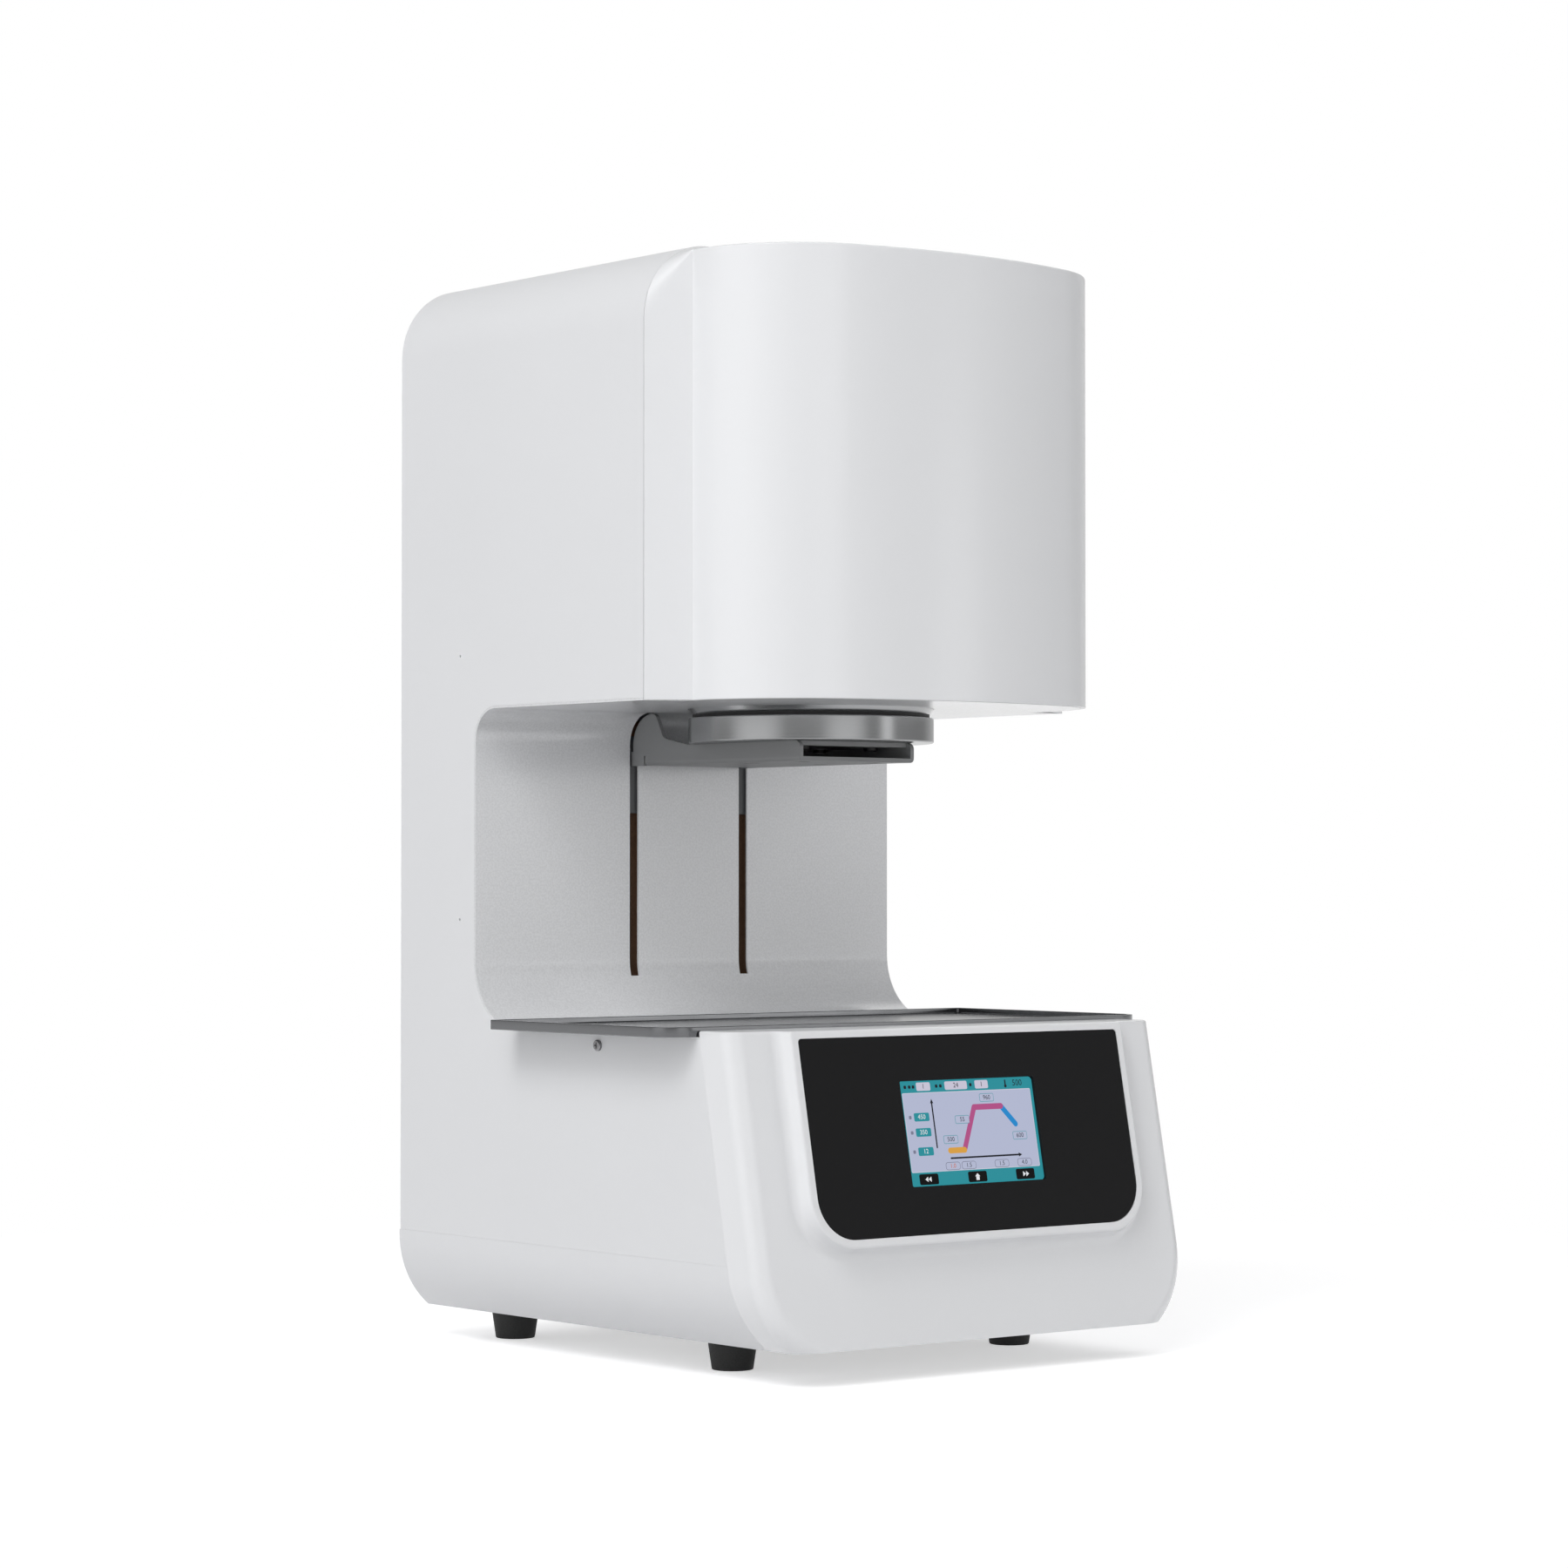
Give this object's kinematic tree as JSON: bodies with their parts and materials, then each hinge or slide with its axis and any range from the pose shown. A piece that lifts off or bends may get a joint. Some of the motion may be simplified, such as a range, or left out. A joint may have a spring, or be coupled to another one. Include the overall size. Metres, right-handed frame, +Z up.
{
  "type": "dental lab furnace",
  "caption": "C-shaped bench-top dental porcelain furnace: a firing chamber in the head, a lifting firing table, a flat cooling tray and a sloping control panel.",
  "frame": {"origin": "centre of the bottom of the bounding box, on the bench", "axes": "+X to the right seen from the front, the control panel faces -Y, +Z up"},
  "size_m": [0.334, 0.3492, 0.59],
  "materials": {
    "case_paint": "satin white powder coat",
    "cover_moulding": "semi-gloss white moulding",
    "liner_paint": "fine-textured grey powder coat",
    "panel_film": "black satin film",
    "screen_glass": "clear touch glass over the lit display",
    "display_black": "black frame",
    "stainless": "polished stainless sheet",
    "turned_steel": "turned heat-resistant steel",
    "arm_paint": "grey satin paint",
    "rubber": "matte black",
    "screw_steel": "zinc-plated",
    "zinc_sheet": "zinc-plated sheet",
    "aluminium": "machined",
    "ceramic_fibre": "soft insulating ceramic",
    "firing_ceramic": "dense firing ceramic",
    "quartz": "clear fused quartz",
    "heater_wire": "oxidised resistance wire",
    "brass": "plain",
    "ground_steel": "ground and polished",
    "motor_black": "satin black",
    "fan_black": "moulded black",
    "fitting_black": "moulded black",
    "rocker_black": "moulded black",
    "board_green": "circuit board",
    "seal_silicone": "heat-resistant seal",
    "seal_felt": "brown felt dust strip"
  },
  "bodies": {
    "base": {"bottom_pan": "case_paint", "outer_wrap": "case_paint", "rear_panel": "case_paint", "column_liner": "liner_paint", "head_cover": "cover_moulding", "frame_upright_left": "zinc_sheet", "frame_upright_right": "zinc_sheet", "front_bezel": "cover_moulding", "control_fascia": "panel_film", "touch_glass": "screen_glass", "display_module": "display_black", "display_board": "board_green", "cooling_tray": "stainless", "rubber_feet": "rubber", "foot_screws": "screw_steel", "case_screws": "screw_steel", "slot_seals": "seal_felt", "head_shelf": "zinc_sheet", "chamber_flange": "turned_steel", "chamber_can": "zinc_sheet", "insulation": "ceramic_fibre", "quartz_muffle": "quartz", "heating_coil": "heater_wire", "heater_terminals": "firing_ceramic", "thermocouple": "firing_ceramic", "vacuum_tube": "brass", "vacuum_valve": "fitting_black", "vacuum_stub": "brass", "stub_nut": "brass", "guide_rods": "ground_steel", "lower_plate": "aluminium", "upper_plate": "aluminium", "screw_bearing": "ground_steel", "stepper_motor": "motor_black", "motor_screws": "screw_steel", "limit_sensors": "fitting_black", "fan_frame": "fan_black", "fan_guard": "ground_steel", "mains_inlet": "fitting_black", "pump_socket": "fitting_black", "switch_frame": "fitting_black", "power_supply": "zinc_sheet", "control_board": "board_green", "board_standoffs": "brass", "heat_sink": "aluminium", "solid_state_relay": "fitting_black"},
    "lift": {"lift_bracket": "arm_paint", "bracket_screws": "screw_steel", "lift_table": "turned_steel", "table_seal": "seal_silicone", "firing_pedestal": "ceramic_fibre", "firing_tray": "firing_ceramic", "lift_carriage": "aluminium", "linear_bushings": "ground_steel", "lift_nut": "brass"},
    "screw": {"lead_screw": "ground_steel", "shaft_coupling": "aluminium", "motor_shaft": "ground_steel"},
    "fan": {"fan_rotor": "fan_black"},
    "switch": {"switch_rocker": "rocker_black"}
  },
  "joints": [
    {"name": "table_lift", "type": "slide", "parent": "base", "child": "lift", "axis": [0, 0, -1], "range_m": [0, 0.115]},
    {"name": "screw_spin", "type": "hinge", "parent": "base", "child": "screw", "pos_m": [0, 0.11056, 0.3516], "axis": [0, 0, 1], "range_deg": [0, 5200]},
    {"name": "fan_spin", "type": "hinge", "parent": "base", "child": "fan", "pos_m": [0, 0.14156, 0.48], "axis": [0, 1, 0], "continuous": true},
    {"name": "power_switch", "type": "hinge", "parent": "base", "child": "switch", "pos_m": [-0.085, 0.15456, 0.135], "axis": [-1, 0, 0], "range_deg": [0, 16]}
  ],
  "couplings": [
    {"joint": "screw_spin", "follows": "table_lift", "rad_per_m": 785.4}
  ]
}
